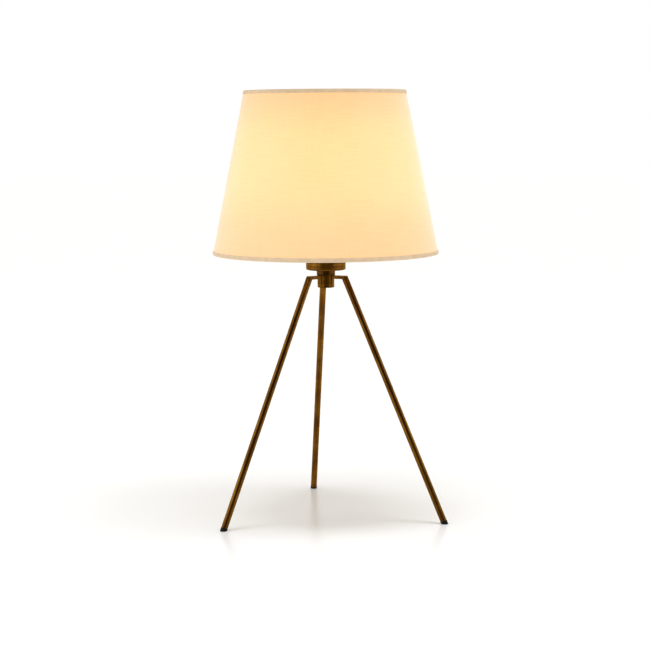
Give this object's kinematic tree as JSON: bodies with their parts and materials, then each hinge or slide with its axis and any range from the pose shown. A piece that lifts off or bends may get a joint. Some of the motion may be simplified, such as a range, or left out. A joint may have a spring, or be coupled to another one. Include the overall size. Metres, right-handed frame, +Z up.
{
  "type": "tripod table lamp",
  "caption": "Table lamp on three splayed round metal legs that meet in a small hub, with a tapered fabric shade open at both ends and a screw-in bulb.",
  "frame": {"origin": "on the floor, on the lamp's axis, in the middle of the circle of the three feet", "axes": "+Z up along the lamp's axis; +Y towards the rear leg; +X to the right, seen from the front"},
  "size_m": [0.281, 0.3017, 0.5306],
  "materials": {
    "tripod_brass": "antique brushed brass, lacquered",
    "cup_brass": "antique brushed brass, lacquered",
    "zinc_steel": "zinc plated",
    "foot_rubber": "matt black rubber",
    "bush_plastic": "black nylon",
    "holder_plastic": "black moulded",
    "holder_ceramic": "white glazed",
    "contact_brass": "bare",
    "shade_fabric": "fine plain weave, ivory",
    "shade_liner": "translucent white styrene",
    "shade_tape": "ivory tape",
    "frame_wire": "white powder coat",
    "bulb_opal": "opal",
    "bulb_housing": "white moulded",
    "led_plate": "white coated",
    "bulb_cap_metal": "nickel plated",
    "bulb_insulator": "black"
  },
  "bodies": {
    "stand": {"hub": "tripod_brass", "threaded_tube": "zinc_steel", "hub_nut": "zinc_steel", "cord_bush": "bush_plastic", "collar": "tripod_brass", "holder_cup": "cup_brass", "cup_washer": "zinc_steel", "cup_nut": "zinc_steel", "holder_cap": "holder_plastic", "grub_screw": "zinc_steel", "holder_insert": "holder_ceramic", "terminals": "contact_brass", "terminal_screws": "zinc_steel", "holder_shell": "holder_plastic", "screw_shell": "contact_brass", "spring_contact": "contact_brass", "arm_left": "tripod_brass", "arm_right": "tripod_brass", "arm_rear": "tripod_brass", "leg_left": "tripod_brass", "leg_right": "tripod_brass", "leg_rear": "tripod_brass", "foot_tip_left": "foot_rubber", "foot_tip_right": "foot_rubber", "foot_tip_rear": "foot_rubber"},
    "shade": {"shade_cover": "shade_fabric", "shade_liner": "shade_liner", "top_wire": "frame_wire", "bottom_wire": "frame_wire", "top_trim": "shade_tape", "bottom_trim": "shade_tape", "shade_seam": "shade_fabric", "shade_fitter": "frame_wire"},
    "shade_ring": {"shade_ring": "holder_plastic"},
    "bulb": {"bulb_dome": "bulb_opal", "bulb_housing": "bulb_housing", "led_plate": "led_plate", "bulb_cap": "bulb_cap_metal", "bulb_insulator": "bulb_insulator", "bulb_contact": "bulb_cap_metal"}
  },
  "joints": [
    {"name": "shade_turn", "type": "hinge", "parent": "stand", "child": "shade", "pos_m": [0, 0, 0.3468], "axis": [0, 0, 1], "continuous": true},
    {"name": "ring_turn", "type": "hinge", "parent": "stand", "child": "shade_ring", "pos_m": [0, 0, 0.3519], "axis": [0, 0, 1], "continuous": true},
    {"name": "bulb_lift", "type": "slide", "parent": "stand", "child": "bulb", "axis": [0, 0, 1], "range_m": [0, 0.21]}
  ]
}
